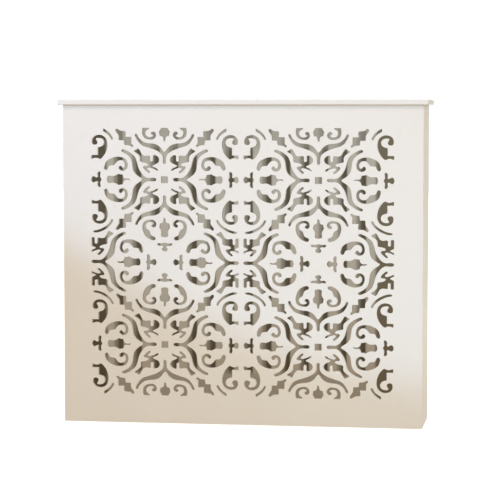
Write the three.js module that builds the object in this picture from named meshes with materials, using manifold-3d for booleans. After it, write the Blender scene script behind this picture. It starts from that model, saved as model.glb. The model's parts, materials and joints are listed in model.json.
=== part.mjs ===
// Radiator cover cabinet: fretted front sheet, two sides, a thin shelf, battens and fittings.
// Millimetres, +Z up, front towards -Y, origin under the middle of the whole cabinet.
import * as THREE from 'three';
import { mergeVertices } from 'three/addons/utils/BufferGeometryUtils.js';
import Module from 'manifold-3d';

const wasm = await Module();
wasm.setup();

// Cabinet body
const bodyWidth = 900;
const bodyHeight = 795;
const bodyDepth = 190;
const frontThickness = 12;
const sideThickness = 12;
const shelfThickness = 12;
const shelfSideOverhang = 12;
const shelfFrontOverhang = 10;

// Battens inside the corners and under the shelf
const battenSize = 18;
const battenFloorGap = 30;
const battenWallGap = 12;

// Fittings
const screwLength = 25;
const screwShankRadius = 2;
const screwHeadRadius = 3.8;
const screwHeadHeight = 2;
const screwTipLength = 3;
const shortScrewLength = 11;
const dowelRadius = 3;
const dowelLength = 22;
const dowelInFace = 8;
const bracketLeg = 50;
const bracketWidth = 20;
const bracketThickness = 2;
const bracketDrop = 24;
const bracketHoleRadius = 2.6;
const fittingGap = 0.3;
const roundSteps = 8;

// How far the end fittings of each line stay from the ends of their board
const frontScrewFoot = 120;
const frontScrewDrop = 115;
const sideScrewFoot = 170;
const sideScrewDrop = 65;
const frontDowelFoot = 75;
const frontDowelDrop = 205;
const shelfDowelFront = 50;
const shelfDowelBack = 38;
const shelfScrewInset = 118;
const rimScrewInset = 223;
const sideShelfScrewFront = 30;
const sideShelfScrewBack = 38;
const sideRimScrewFront = 55;
const sideRimScrewBack = 13;
const bracketScrewInset = 15;
const bracketWallHoleInset = 15;

// Fretwork: plain margins of the sheet round it and the web between its two tiles
const fretSideMargin = 71.5;
const fretTopMargin = 57.5;
const fretFootMargin = 69.3;
const fretMiddleWeb = 13;
const splineSteps = 5;
const leastCornerArea = 24;

// The drawing of one tile in its own measure; the fretwork is stretched from it to fill its field.
const drawn = {
  rowPitch: 411.6,
  rowCut: 128.3,
  arcCut: 155.5,
  turnX: 207.8,
  squareHalf: 8.2,
  stepsMiddle: 101.5,
};

// Derived positions
const frontY = -(bodyDepth + shelfFrontOverhang) / 2 + shelfFrontOverhang;
const wallY = frontY + bodyDepth;
const frontBackY = frontY + frontThickness;
const sideInnerX = bodyWidth / 2 - sideThickness;
const battenTop = bodyHeight - battenSize;
const rimLength = bodyDepth - frontThickness - battenSize - battenWallGap;
const bracketWallHole = bracketLeg - bracketWallHoleInset;
const tileHalfWidth = (bodyWidth / 2 - fretSideMargin - fretMiddleWeb / 2) / 2;
const tileOffset = tileHalfWidth + fretMiddleWeb / 2;

// Evenly spaced places from the first to the last.
const spread = (first, last, count) =>
  Array.from({ length: count }, (_, i) => first + (last - first) * i / (count - 1));
const frontScrewHeights = spread(frontScrewFoot, bodyHeight - frontScrewDrop, 3);
const sideScrewHeights = spread(sideScrewFoot, bodyHeight - sideScrewDrop, 3);
const frontDowelHeights = spread(frontDowelFoot, bodyHeight - frontDowelDrop, 2);
const shelfDowelDepths = spread(shelfDowelFront, bodyDepth - frontThickness - shelfDowelBack, 2);
const frontShelfScrews = spread(shelfScrewInset - sideInnerX, sideInnerX - shelfScrewInset, 4);
const frontRimScrews = spread(rimScrewInset - sideInnerX, sideInnerX - rimScrewInset, 3);
const sideShelfScrews = spread(sideShelfScrewFront, rimLength - sideShelfScrewBack, 2);
const sideRimScrews = spread(sideRimScrewFront, rimLength - sideRimScrewBack, 2);
const bracketScrews = spread(bracketScrewInset, bracketLeg - bracketScrewInset, 2);

// Each outline is measured from the small square in its row: x outwards, z away from the row.
// A line of points is a smooth curve; where one list ends and the next starts there is a corner.
const sprigUpHalf = [[
  [0, 39.3], [2.4, 40], [3.4, 43], [3.4, 53], [5.4, 60.3], [12, 67.4], [22, 73.4], [40, 79.8],
  [53, 83.9], [61, 88.6], [67.3, 96.3], [72.3, 105], [74.5, 110.3], [72.3, 113.5], [69.7, 111.8],
  [65.6, 104.2], [59.5, 97.8], [51, 92.4], [40, 89.9], [27, 88.7], [17, 85], [9, 78.2], [4, 71.3],
  [0, 67.9],
]];
const sprigSideHalf = [[
  [21.5, 0], [22.6, 2.6], [26, 3.9], [32, 4.1], [40, 3.5], [46, 4.7], [53, 9.2], [59.5, 17],
  [65, 26], [68.3, 35.5], [71.2, 46.5], [75.5, 56.5], [82, 63], [91, 69.3], [99.5, 73],
  [105, 74.9], [108.6, 73.4], [108.9, 70.6], [103, 67.2], [94.5, 62.3], [87.3, 55], [83, 46.5],
  [81, 34], [78.7, 22], [73, 13.5], [64, 6.6], [57.5, 2.6], [56, 0],
]];
const leaf = [[
  [28.2, 60], [24.5, 60.6], [19, 58.3], [14.8, 53.5], [13.9, 49], [16, 43.4], [21, 39.8],
  [28, 36.6], [31.3, 34.2], [29, 31.7], [22.5, 29], [17.6, 25.3], [17, 22.8], [19.5, 22.9],
  [26.5, 26.8], [34, 29.3], [40.5, 30.2], [44, 27.5], [42.4, 24.4], [37.9, 20.6], [37.2, 17.5],
  [40, 17], [47, 22], [52.3, 28], [53.2, 31.5], [50.3, 33.4], [44.5, 33.8], [41.2, 36.6],
  [44, 40.3], [51, 42.8], [58.3, 44], [61.6, 46.6], [61.5, 53.5], [63.5, 59.5], [69, 64.9],
  [77, 70.7], [71.5, 74.3], [66.8, 76.7], [63.8, 74], [59.5, 66.6], [54.7, 60.2], [48, 58.4],
  [39, 59.4], [36.9, 57.5], [36.8, 50], [35.6, 45.4], [33, 44.7], [29.9, 45.8], [28.8, 49.5],
  [28.9, 57], [28.2, 60],
]];
const steps = [
  [[84.2, 105.8], [84.2, 92]],
  [[84.2, 92], [84, 89.5], [81.8, 87.2], [79.5, 84.7], [80.3, 81.6], [83, 81.7], [87.5, 84.5],
    [93, 85.9], [100.6, 86.4]],
  [[100.6, 86.4], [102.5, 97.9]],
  [[102.5, 97.9], [115.4, 98.2]],
  [[115.4, 98.2], [115.4, 104], [116.2, 110.3], [120, 116], [123.3, 120.5], [123.2, 124.6],
    [120.6, 126.1], [117.5, 124.4], [113, 121.4], [106, 120.3], [99, 119.8]],
  [[99, 119.8], [98.3, 114], [99.4, 106]],
  [[99.4, 106], [84.2, 105.8]],
];
const scrollTall = [[
  [27, 150.5], [31, 150.7], [37, 148.6], [43, 145.5], [48, 140.8], [52.2, 134], [54.9, 126],
  [55.9, 117.5], [54.6, 110.3], [51, 104.8], [45, 101.5], [36, 99.9], [29, 100.7], [23.8, 104.7],
  [21.7, 110.5], [24, 116.9], [28.5, 118.9], [32.4, 117.2], [33.4, 114], [31, 111.9],
  [28.2, 109.6], [30.7, 106.5], [38, 105.1], [44.5, 107.4], [48, 112.5], [47.8, 119.4],
  [44.5, 123.2], [39.8, 126.3], [37.8, 131], [35.6, 137], [31.5, 140.7], [25.7, 143],
  [23.7, 146.5], [24.7, 149.4], [27, 150.5],
]];
const scrollWide = [[
  [58.8, 182.3], [55.8, 180.6], [54.8, 177], [56.3, 170.5], [58.3, 164.8], [63.6, 158.6],
  [72, 153.9], [82, 150.3], [93, 149.6], [102, 151.4], [108.5, 154.7], [112.8, 162],
  [114.3, 170], [112.6, 177.3], [108, 182], [102, 183.8], [96, 182.4], [92, 178.6], [92, 174.8],
  [95.4, 172], [98.6, 173.4], [101.3, 176.8], [105, 176.6], [108, 172], [107.6, 165],
  [103.5, 159.5], [97, 157.4], [90, 158.8], [84, 164.6], [79.8, 169.5], [72, 170.6], [67, 172],
  [64, 177.5], [61.7, 181.2], [58.8, 182.3],
]];
const edgeScroll = [
  [[169.2, 60.5], [169.4, 70], [169.3, 79.4]],
  [[169.3, 79.4], [163, 80.9], [157, 83.8], [153.9, 88.5], [153.2, 93], [155.2, 98.6],
    [160, 102.4], [167, 103.8], [172.5, 103.4], [174.3, 100.4], [172, 96.2], [170.6, 92.5],
    [172.2, 88.4], [178, 86.8], [182.5, 88.3], [184.1, 95], [182.2, 102.5], [177.5, 107.6],
    [171, 110.1], [163, 110.5], [155.5, 108], [149.5, 102.8], [145.9, 94.5], [145.1, 85.5],
    [146.6, 75.5], [151, 64.8], [157.5, 56], [161.5, 52.2], [165, 51.2], [170, 53.6],
    [176, 54.3], [181, 52.8], [185.2, 51.4]],
  [[185.2, 51.4], [185.5, 60.3]],
  [[185.5, 60.3], [169.2, 60.5]],
];
const arc = [[
  [132.5, 99.4], [130.8, 101.6], [132.6, 106], [136.5, 112], [142, 117.8], [149, 123.2],
  [157, 127.5], [166, 130.9], [174, 132.7], [180, 132.4], [182.2, 130.6], [180, 128.6],
  [172, 127.1], [163, 124.1], [154, 119.6], [146, 114.4], [140, 108.8], [136.2, 103],
  [134.3, 99.7], [132.5, 99.4],
]];
const tulipUpHalf = [
  [[0, 143], [4.5, 142.4], [8.2, 140.2], [8.4, 136], [7.8, 131.5], [8.6, 126.5], [11.2, 121.8],
    [13, 118.6], [11.9, 114], [11.3, 109.2]],
  [[11.3, 109.2], [6, 107.9], [3.4, 105.2], [2.1, 101], [2, 97.5], [0, 95.2]],
];
// The side tulip has a thin stem that bows away from the tulip's middle line.
const tulipSideTop = [
  [[145.8, 0], [145, 4.5], [142.8, 8.3], [138, 8.4], [131.5, 7.8], [125, 9.3], [120.5, 11.8],
    [117, 13.4], [112, 12.3], [106.5, 11.9]],
  [[106.5, 11.9], [105.2, 6.6], [103, 3.4], [99.5, 2.2], [95, 2.4], [90.5, 1.9], [87.6, 0.2]],
];
const tulipSideBottom = [
  [[87.6, 0.2], [88.4, -1], [91.5, -0.3], [95, 0], [99.5, -1], [103, -3.4], [105.2, -6.6],
    [106.5, -11.9]],
  [[106.5, -11.9], [112, -12.3], [117, -13.4], [120.5, -11.8], [125, -9.3], [131.5, -7.8],
    [138, -8.4], [142.8, -8.3], [145, -4.5], [145.8, 0]],
];
const teeSideHalf = [[
  [160.7, 0], [161.6, 2.4], [163.3, 5], [163.8, 10], [163, 16], [163.6, 18.9], [166, 19.3],
  [169, 17], [170.1, 13.5], [169.6, 7.5], [170.6, 4.6], [174.5, 4.6], [178.5, 6.8],
  [181.5, 7.7], [184.6, 5], [185.9, 1.5], [186, 0],
]];
const teeUpHalf = [[
  [0, 178.3], [3.5, 177.6], [6.8, 174.8], [6.7, 171.6], [3.9, 168.8], [3.6, 166.6], [7.5, 164],
  [13.5, 164.4], [17.6, 162.6], [18.6, 160], [16.5, 158.6], [9.5, 159.3], [4, 158], [0, 157.2],
]];

// A drawn tile ends at the tip of its side tee, and the drawn rows end at their cuts.
const drawnHalfWidth = Math.max(...teeSideHalf.flat().map(([x]) => x));
const stretchX = tileHalfWidth / drawnHalfWidth;
const stretchZ = (bodyHeight - fretTopMargin - fretFootMargin) / (drawn.rowPitch + 2 * drawn.rowCut);

// Turn the lists of one outline into one ring of points along smooth curves.
function ringFrom(lists) {
  const ring = [];
  for (const list of lists) {
    const points = list.map(([x, z]) => new THREE.Vector3(x, z, 0));
    const closed = points.length > 2 && points[0].distanceTo(points.at(-1)) < 1e-6;
    if (closed) points.pop();
    const spans = closed ? points.length : points.length - 1;
    const curve = new THREE.CatmullRomCurve3(points, closed, 'centripetal');
    const samples = list.length > 2 ? curve.getPoints(spans * splineSteps) : points;
    ring.push(...samples.slice(0, -1).map((point) => [point.x, point.y]));
    if (!closed) ring.push([samples.at(-1).x, samples.at(-1).y]);
  }
  return cleaned(ring);
}

// Drop points that repeat the one before.
function cleaned(ring) {
  return ring.filter(([x, z], i) => {
    const [px, pz] = ring.at(i - 1);
    return Math.hypot(x - px, z - pz) > 1e-4;
  });
}

// A half outline and its mirror image across x = 0 or z = 0.
function mirroredRing(half, flipX, flipZ) {
  const open = half.map((list) => list.slice());
  const other = open.map((list) => list.map(([x, z]) => [x * flipX, z * flipZ]).reverse());
  return ringFrom([...open, ...other.reverse()]);
}

// Drop the flattest point again and again until every corner left is worth its triangle.
function thinned(ring) {
  const kept = ring.slice();
  const cornerArea = (i) => {
    const [ax, az] = kept.at(i - 1);
    const [bx, bz] = kept[i];
    const [cx, cz] = kept[(i + 1) % kept.length];
    return Math.abs((bx - ax) * (cz - az) - (cx - ax) * (bz - az)) / 2;
  };
  while (kept.length > 4) {
    const areas = kept.map((point, i) => cornerArea(i));
    const smallest = Math.min(...areas);
    if (smallest > leastCornerArea) break;
    kept.splice(areas.indexOf(smallest), 1);
  }
  return kept;
}

// Cut a ring along a straight limit on x (axis 0) or z (axis 1) and keep what lies below it.
function below(ring, axis, limit) {
  const kept = [];
  ring.forEach((point, i) => {
    const before = ring.at(i - 1);
    const inside = point[axis] <= limit;
    const wasInside = before[axis] <= limit;
    if (inside !== wasInside) {
      const t = (limit - before[axis]) / (point[axis] - before[axis]);
      kept.push([before[0] + t * (point[0] - before[0]), before[1] + t * (point[1] - before[1])]);
    }
    if (inside) kept.push(point);
  });
  return cleaned(kept);
}

// The same shape turned half round, as it appears beside the middle row.
const turned = (ring) => ring.map(([x, z]) => [drawn.turnX - x, drawn.rowPitch / 2 - z]);
const turnedAcross = (ring) => ring.map(([x, z]) => [drawn.turnX - x, -z]);
// A shape mirrored about the middle of the stepped one.
const swapped = (ring) => ring.map(([x, z]) => [2 * drawn.stepsMiddle - x, z]);

const rings = {
  square: [[-1, -1], [1, -1], [1, 1], [-1, 1]].map((corner) => corner.map((v) => v * drawn.squareHalf)),
  sprigUp: mirroredRing(sprigUpHalf, -1, 1),
  sprigSide: mirroredRing(sprigSideHalf, 1, -1),
  leaf: ringFrom(leaf),
  steps: ringFrom(steps),
  scrollTall: ringFrom(scrollTall),
  scrollWide: ringFrom(scrollWide),
  edgeScroll: ringFrom(edgeScroll),
  arc: ringFrom(arc),
  tulipUp: mirroredRing(tulipUpHalf, -1, 1),
  tulipSide: ringFrom([...tulipSideTop, ...tulipSideBottom]),
  teeSide: mirroredRing(teeSideHalf, 1, -1),
  teeUp: mirroredRing(teeUpHalf, -1, 1),
};

// Every cut-out of the front sheet, as rings in sheet coordinates.
function fretworkRings() {
  const cuts = [];
  const cut = (ring, x, z, flipX = 1, flipZ = 1) => {
    cuts.push(thinned(ring).map(([px, pz]) => [
      x + flipX * px * stretchX, fretFootMargin + (z + flipZ * pz) * stretchZ,
    ]));
  };
  for (const tile of [-1, 1]) {
    const tileX = tile * tileOffset;
    for (const row of [0, 1]) {
      const rowZ = drawn.rowCut + row * drawn.rowPitch;
      const stemUp = row === 1 ? 1 : -1;
      cut(rings.square, tileX, rowZ);
      for (const up of [-1, 1]) {
        const outer = (up === 1) === (row === 1);
        cut(rings.sprigUp, tileX, rowZ, 1, up);
        cut(outer ? below(rings.tulipUp, 1, drawn.rowCut) : rings.tulipUp, tileX, rowZ, 1, up);
        if (!outer) cut(rings.teeUp, tileX, rowZ, 1, up);
        for (const side of [-1, 1]) {
          const plain = (ring) => cut(ring, tileX, rowZ, side, up);
          const footCorner = row === 0 && up === -1 && side === tile;
          plain(rings.leaf);
          plain(footCorner ? swapped(rings.steps) : rings.steps);
          plain(outer ? below(rings.scrollTall, 1, drawn.rowCut) : rings.scrollTall);
          plain(turned(rings.scrollWide));
          plain(rings.edgeScroll);
          plain(outer ? below(rings.arc, 0, drawn.arcCut) : rings.arc);
          if (!outer) {
            plain(rings.scrollWide);
            plain(below(turned(rings.leaf), 0, drawnHalfWidth));
          }
        }
      }
      for (const side of [-1, 1]) {
        cut(rings.sprigSide, tileX, rowZ, side);
        cut(rings.tulipSide, tileX, rowZ, side, stemUp);
        cut(rings.teeSide, tileX, rowZ, side);
      }
    }
    for (const side of [-1, 1]) {
      const middleZ = drawn.rowCut + drawn.rowPitch / 2;
      cut(turnedAcross(rings.sprigSide), tileX, middleZ, side);
      cut(turnedAcross(rings.tulipSide), tileX, middleZ, side);
      cut(turnedAcross(rings.teeSide), tileX, middleZ, side);
    }
  }
  return cuts;
}

// Solids: one closed surface to and from the joining library.
function solidFrom(geometry) {
  const bare = geometry.clone();
  bare.deleteAttribute('normal');
  bare.deleteAttribute('uv');
  const merged = mergeVertices(bare, 1e-4);
  const mesh = new wasm.Mesh({
    numProp: 3,
    vertProperties: new Float32Array(merged.attributes.position.array),
    triVerts: new Uint32Array(merged.index.array),
  });
  return new wasm.Manifold(mesh);
}

function geometryFrom(solid) {
  const mesh = solid.getMesh();
  const geometry = new THREE.BufferGeometry();
  geometry.setAttribute('position', new THREE.BufferAttribute(new Float32Array(mesh.vertProperties), 3));
  geometry.setIndex(new THREE.BufferAttribute(new Uint32Array(mesh.triVerts), 1));
  const flat = geometry.toNonIndexed();
  flat.computeVertexNormals();
  return flat;
}

// A box from its lowest and highest corner.
function boxBetween(low, high) {
  const size = high.map((value, i) => value - low[i]);
  const geometry = new THREE.BoxGeometry(...size);
  geometry.translate(...low.map((value, i) => value + size[i] / 2));
  return geometry;
}

// A turned shape along an axis: profile points are [radius, distance], the start stands at a place.
function turnedShape(profile, place, direction) {
  const points = profile.map(([radius, along]) => new THREE.Vector2(radius, along));
  const geometry = new THREE.LatheGeometry(points, roundSteps);
  const up = new THREE.Vector3(0, 1, 0);
  const turn = new THREE.Quaternion().setFromUnitVectors(up, new THREE.Vector3(...direction));
  geometry.applyQuaternion(turn);
  geometry.translate(...place);
  return geometry;
}

// Screw with a countersunk head whose flat top lies at the place, pointing along the direction.
function screwProfile(length) {
  return [
    [0, 0], [screwHeadRadius, 0], [screwShankRadius, screwHeadHeight],
    [screwShankRadius, length - screwTipLength], [0, length],
  ];
}

// The hole for that screw, a little wider all round and open past the head.
function screwHole(length, place, direction) {
  const gap = fittingGap;
  return turnedShape([
    [0, -1], [screwHeadRadius + gap, -1], [screwHeadRadius + gap, 0],
    [screwShankRadius + gap, screwHeadHeight], [screwShankRadius + gap, length + gap],
    [0, length + gap],
  ], place, direction);
}

function dowelHole(place, direction) {
  const gap = fittingGap;
  const radius = dowelRadius + gap;
  return turnedShape([
    [0, -gap], [radius, -gap], [radius, dowelLength + gap], [0, dowelLength + gap],
  ], place, direction);
}

// Materials
const look = (colour, roughness, metalness) =>
  new THREE.MeshStandardMaterial({ color: colour, roughness, metalness });
const whitePaint = look(0xeeebe6, 0.55, 0);
const rawPine = look(0xd9b98a, 0.75, 0);
const beech = look(0xc99e6c, 0.7, 0);
const zincSteel = look(0xb9b8b2, 0.38, 0.9);

const group = new THREE.Group();
group.name = 'radiator_cover_cabinet';

function add(name, geometry, material) {
  const mesh = new THREE.Mesh(geometry, material);
  mesh.name = name;
  group.add(mesh);
}

// Every fixing is listed once; the boards it enters get their holes from the same list.
const fixings = [];
function screwAt(name, place, direction, through) {
  fixings.push({ name, kind: 'screw', length: screwLength, place, direction, through });
}

for (const [side, word] of [[-1, 'left'], [1, 'right']]) {
  const battenMiddleX = side * (sideInnerX - battenSize / 2);
  const battenMiddleY = frontBackY + battenSize / 2;
  frontScrewHeights.forEach((z, i) => {
    screwAt(`front_screw_${word}_${i + 1}`, [battenMiddleX, frontBackY + battenSize, z],
      [0, -1, 0], [`corner_batten_${word}`, 'front_panel']);
  });
  sideScrewHeights.forEach((z, i) => {
    screwAt(`side_screw_${word}_${i + 1}`, [side * (sideInnerX - battenSize), battenMiddleY, z],
      [side, 0, 0], [`corner_batten_${word}`, `side_panel_${word}`]);
  });
  sideShelfScrews.forEach((y, i) => {
    screwAt(`shelf_screw_${word}_${i + 1}`,
      [battenMiddleX, frontBackY + battenSize + y, battenTop], [0, 0, 1],
      [`top_batten_${word}`, 'top_shelf']);
  });
  sideRimScrews.forEach((y, i) => {
    screwAt(`rim_screw_${word}_${i + 1}`,
      [side * (sideInnerX - battenSize), frontBackY + battenSize + y, battenTop + battenSize / 2],
      [side, 0, 0], [`top_batten_${word}`, `side_panel_${word}`]);
  });
  bracketScrews.forEach((y, i) => {
    fixings.push({
      name: `bracket_screw_${word}_${i + 1}`,
      kind: 'screw',
      length: shortScrewLength,
      place: [side * (sideInnerX - bracketThickness), wallY - bracketLeg + y,
        battenTop - bracketDrop + bracketWidth / 2],
      direction: [side, 0, 0],
      through: [`wall_bracket_${word}`, `side_panel_${word}`],
    });
  });
  frontDowelHeights.forEach((z, i) => {
    fixings.push({
      name: `front_dowel_${word}_${i + 1}`,
      kind: 'dowel',
      place: [side * (bodyWidth / 2 - sideThickness / 2), frontBackY - dowelInFace, z],
      direction: [0, 1, 0],
      through: ['front_panel', `side_panel_${word}`],
    });
  });
  shelfDowelDepths.forEach((y, i) => {
    fixings.push({
      name: `shelf_dowel_${word}_${i + 1}`,
      kind: 'dowel',
      place: [side * (bodyWidth / 2 - sideThickness / 2), frontBackY + y, bodyHeight + dowelInFace],
      direction: [0, 0, -1],
      through: ['top_shelf', `side_panel_${word}`],
    });
  });
}
frontShelfScrews.forEach((x, i) => {
  screwAt(`shelf_screw_front_${i + 1}`, [x, frontBackY + battenSize / 2, battenTop], [0, 0, 1],
    ['top_batten_front', 'top_shelf']);
});
frontRimScrews.forEach((x, i) => {
  screwAt(`rim_screw_front_${i + 1}`, [x, frontBackY + battenSize, battenTop + battenSize / 2],
    [0, -1, 0], ['top_batten_front', 'front_panel']);
});

// Take the holes of every fixing that enters this board.
function drilled(name, geometry) {
  let solid = solidFrom(geometry);
  for (const fixing of fixings.filter((entry) => entry.through.includes(name))) {
    const hole = fixing.kind === 'screw'
      ? screwHole(fixing.length, fixing.place, fixing.direction)
      : dowelHole(fixing.place, fixing.direction);
    solid = solid.subtract(solidFrom(hole));
  }
  return geometryFrom(solid);
}

// Front sheet with its fretwork
const sheet = new THREE.Shape([
  new THREE.Vector2(-bodyWidth / 2, 0), new THREE.Vector2(bodyWidth / 2, 0),
  new THREE.Vector2(bodyWidth / 2, bodyHeight), new THREE.Vector2(-bodyWidth / 2, bodyHeight),
]);
for (const ring of fretworkRings()) {
  sheet.holes.push(new THREE.Path(ring.map(([x, z]) => new THREE.Vector2(x, z))));
}
const sheetGeometry = new THREE.ExtrudeGeometry(sheet, { depth: frontThickness, bevelEnabled: false });
sheetGeometry.rotateX(Math.PI / 2);
sheetGeometry.translate(0, frontBackY, 0);
add('front_panel', drilled('front_panel', sheetGeometry), whitePaint);

// Sides and shelf
for (const [side, word] of [[-1, 'left'], [1, 'right']]) {
  const xs = [side * sideInnerX, side * bodyWidth / 2].sort((a, b) => a - b);
  const board = boxBetween([xs[0], frontBackY, 0], [xs[1], wallY, bodyHeight]);
  add(`side_panel_${word}`, drilled(`side_panel_${word}`, board), whitePaint);
}
const shelf = boxBetween(
  [-bodyWidth / 2 - shelfSideOverhang, frontY - shelfFrontOverhang, bodyHeight],
  [bodyWidth / 2 + shelfSideOverhang, wallY, bodyHeight + shelfThickness],
);
add('top_shelf', drilled('top_shelf', shelf), whitePaint);

// Battens
for (const [side, word] of [[-1, 'left'], [1, 'right']]) {
  const xs = [side * (sideInnerX - battenSize), side * sideInnerX].sort((a, b) => a - b);
  const upright = boxBetween([xs[0], frontBackY, battenFloorGap],
    [xs[1], frontBackY + battenSize, battenTop]);
  add(`corner_batten_${word}`, drilled(`corner_batten_${word}`, upright), rawPine);
  const rim = boxBetween([xs[0], frontBackY + battenSize, battenTop],
    [xs[1], wallY - battenWallGap, bodyHeight]);
  add(`top_batten_${word}`, drilled(`top_batten_${word}`, rim), rawPine);
}
const frontRim = boxBetween([-sideInnerX, frontBackY, battenTop],
  [sideInnerX, frontBackY + battenSize, bodyHeight]);
add('top_batten_front', drilled('top_batten_front', frontRim), rawPine);

// Wall brackets: a folded strip, one leg on the side, one leg flat against the wall
for (const [side, word] of [[-1, 'left'], [1, 'right']]) {
  const low = battenTop - bracketDrop;
  const outline = new THREE.Shape([
    new THREE.Vector2(0, 0), new THREE.Vector2(bracketLeg, 0),
    new THREE.Vector2(bracketLeg, bracketThickness),
    new THREE.Vector2(bracketThickness, bracketThickness),
    new THREE.Vector2(bracketThickness, bracketLeg), new THREE.Vector2(0, bracketLeg),
  ]);
  const strip = new THREE.ExtrudeGeometry(outline, { depth: bracketWidth, bevelEnabled: false });
  let solid = solidFrom(strip);
  solid = solid.rotate([0, 0, side === 1 ? 180 : -90]);
  solid = solid.translate([side * sideInnerX, wallY, low]);
  const wallHole = turnedShape([
    [0, -1], [bracketHoleRadius, -1], [bracketHoleRadius, bracketThickness + 1],
    [0, bracketThickness + 1],
  ], [side * (sideInnerX - bracketWallHole), wallY - bracketThickness, low + bracketWidth / 2],
  [0, 1, 0]);
  solid = solid.subtract(solidFrom(wallHole));
  add(`wall_bracket_${word}`, drilled(`wall_bracket_${word}`, geometryFrom(solid)), zincSteel);
}

// Screws and dowels
for (const fixing of fixings) {
  const profile = fixing.kind === 'screw'
    ? screwProfile(fixing.length)
    : [[0, 0], [dowelRadius, 0], [dowelRadius, dowelLength], [0, dowelLength]];
  const geometry = turnedShape(profile, fixing.place, fixing.direction);
  add(fixing.name, geometryFrom(solidFrom(geometry)), fixing.kind === 'screw' ? zincSteel : beech);
}

export default group;
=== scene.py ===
import bpy
import bmesh
import json
import math
from mathutils import Matrix, Vector

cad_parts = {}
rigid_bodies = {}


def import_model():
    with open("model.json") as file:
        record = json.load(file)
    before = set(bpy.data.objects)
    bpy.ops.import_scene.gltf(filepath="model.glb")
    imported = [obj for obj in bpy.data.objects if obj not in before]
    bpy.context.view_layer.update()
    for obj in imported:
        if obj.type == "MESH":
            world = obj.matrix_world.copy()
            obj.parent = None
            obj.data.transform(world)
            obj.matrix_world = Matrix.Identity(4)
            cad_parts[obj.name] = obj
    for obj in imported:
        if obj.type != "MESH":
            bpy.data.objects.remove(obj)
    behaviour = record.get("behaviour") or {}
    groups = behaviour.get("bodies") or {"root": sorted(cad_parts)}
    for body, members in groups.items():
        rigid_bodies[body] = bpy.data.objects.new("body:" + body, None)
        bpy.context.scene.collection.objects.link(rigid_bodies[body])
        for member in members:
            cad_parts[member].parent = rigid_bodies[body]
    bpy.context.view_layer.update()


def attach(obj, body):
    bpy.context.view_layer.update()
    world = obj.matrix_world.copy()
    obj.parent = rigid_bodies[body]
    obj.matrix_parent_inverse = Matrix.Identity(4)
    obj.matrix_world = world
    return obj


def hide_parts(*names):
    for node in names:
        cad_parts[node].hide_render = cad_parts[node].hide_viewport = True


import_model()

mm = 0.001
sides = ((-1, "left"), (1, "right"))


def newObject(name, data):
    thing = bpy.data.objects.new(name, data)
    bpy.context.scene.collection.objects.link(thing)
    return thing


# camera first: same stand point and lens as the picture

cameraSetup = {
    "place": (0.793, -5.112, 0.788),
    "turn": 8.724,       # degrees towards the left
    "dip": 3.957,        # degrees below level
    "lens": 148.25,
    "sensor": 36,
    "reach": 60,
}


def addCamera(setup):
    data = bpy.data.cameras.new("viewer")
    data.lens = setup["lens"]
    data.sensor_width = setup["sensor"]
    data.clip_end = setup["reach"]
    camera = newObject("viewer", data)
    camera.location = setup["place"]
    camera.rotation_euler = (math.radians(90 - setup["dip"]), 0, math.radians(setup["turn"]))
    bpy.context.scene.camera = camera


addCamera(cameraSetup)
print("camera placed")


# small helpers for node trees

def newMaterial(name):
    material = bpy.data.materials.new(name)
    material.use_nodes = True
    return material, material.node_tree, material.node_tree.nodes["Principled BSDF"]


def addNode(tree, kind, **inputs):
    node = tree.nodes.new(kind)
    for key, value in inputs.items():
        node.inputs[key.replace("_", " ")].default_value = value
    return node


# a socket takes a number, a colour or what another node gives
def feed(tree, socket, value):
    if isinstance(value, (int, float)):
        socket.default_value = value
    elif isinstance(value, tuple):
        socket.default_value = (*value, 1)
    else:
        tree.links.new(value, socket)


def objectCoords(tree, scale=(1, 1, 1)):
    coords = tree.nodes.new("ShaderNodeTexCoord")
    mapping = tree.nodes.new("ShaderNodeMapping")
    mapping.inputs["Scale"].default_value = scale
    tree.links.new(coords.outputs["Object"], mapping.inputs["Vector"])
    return mapping.outputs["Vector"]


def axes(tree, vector):
    split = tree.nodes.new("ShaderNodeSeparateXYZ")
    tree.links.new(vector, split.inputs[0])
    return split.outputs


def calc(tree, operation, *values):
    node = tree.nodes.new("ShaderNodeMath")
    node.operation = operation
    for socket, value in zip(node.inputs, values):
        feed(tree, socket, value)
    return node.outputs["Value"]


def times(tree, first, second):
    return calc(tree, "MULTIPLY", first, second)


def noise(tree, vector, scale, detail, roughness):
    node = addNode(tree, "ShaderNodeTexNoise", Scale=scale, Detail=detail, Roughness=roughness)
    tree.links.new(vector, node.inputs["Vector"])
    return node.outputs["Fac"]


def span(tree, value, low, high, outLow, outHigh):
    node = tree.nodes.new("ShaderNodeMapRange")
    for key, number in (("From Min", low), ("From Max", high), ("To Min", outLow), ("To Max", outHigh)):
        node.inputs[key].default_value = number
    tree.links.new(value, node.inputs["Value"])
    return node.outputs["Result"]


# a noise (scale, detail, roughness) with its values stretched from one range to another
def mottle(tree, vector, speckle, change):
    return span(tree, noise(tree, vector, *speckle), *change)


def ramp(tree, factor, stops):
    node = tree.nodes.new("ShaderNodeValToRGB")
    while len(node.color_ramp.elements) < len(stops):
        node.color_ramp.elements.new(0.5)
    for element, (place, colour) in zip(node.color_ramp.elements, stops):
        element.position = place
        element.color = (*colour, 1)
    tree.links.new(factor, node.inputs["Fac"])
    return node.outputs["Color"]


def mixColours(tree, factor, first, second, kind="MIX"):
    node = tree.nodes.new("ShaderNodeMix")
    node.data_type = "RGBA"
    node.blend_type = kind
    for index, value in ((0, factor), (6, first), (7, second)):
        feed(tree, node.inputs[index], value)
    return node.outputs[2]


def bump(tree, shader, height, distance, strength, below=None):
    node = addNode(tree, "ShaderNodeBump", Strength=strength, Distance=distance)
    tree.links.new(height, node.inputs["Height"])
    if below is not None:
        tree.links.new(below, node.inputs["Normal"])
    if shader is not None:
        tree.links.new(node.outputs["Normal"], shader.inputs["Normal"])
    return node.outputs["Normal"]


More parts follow.
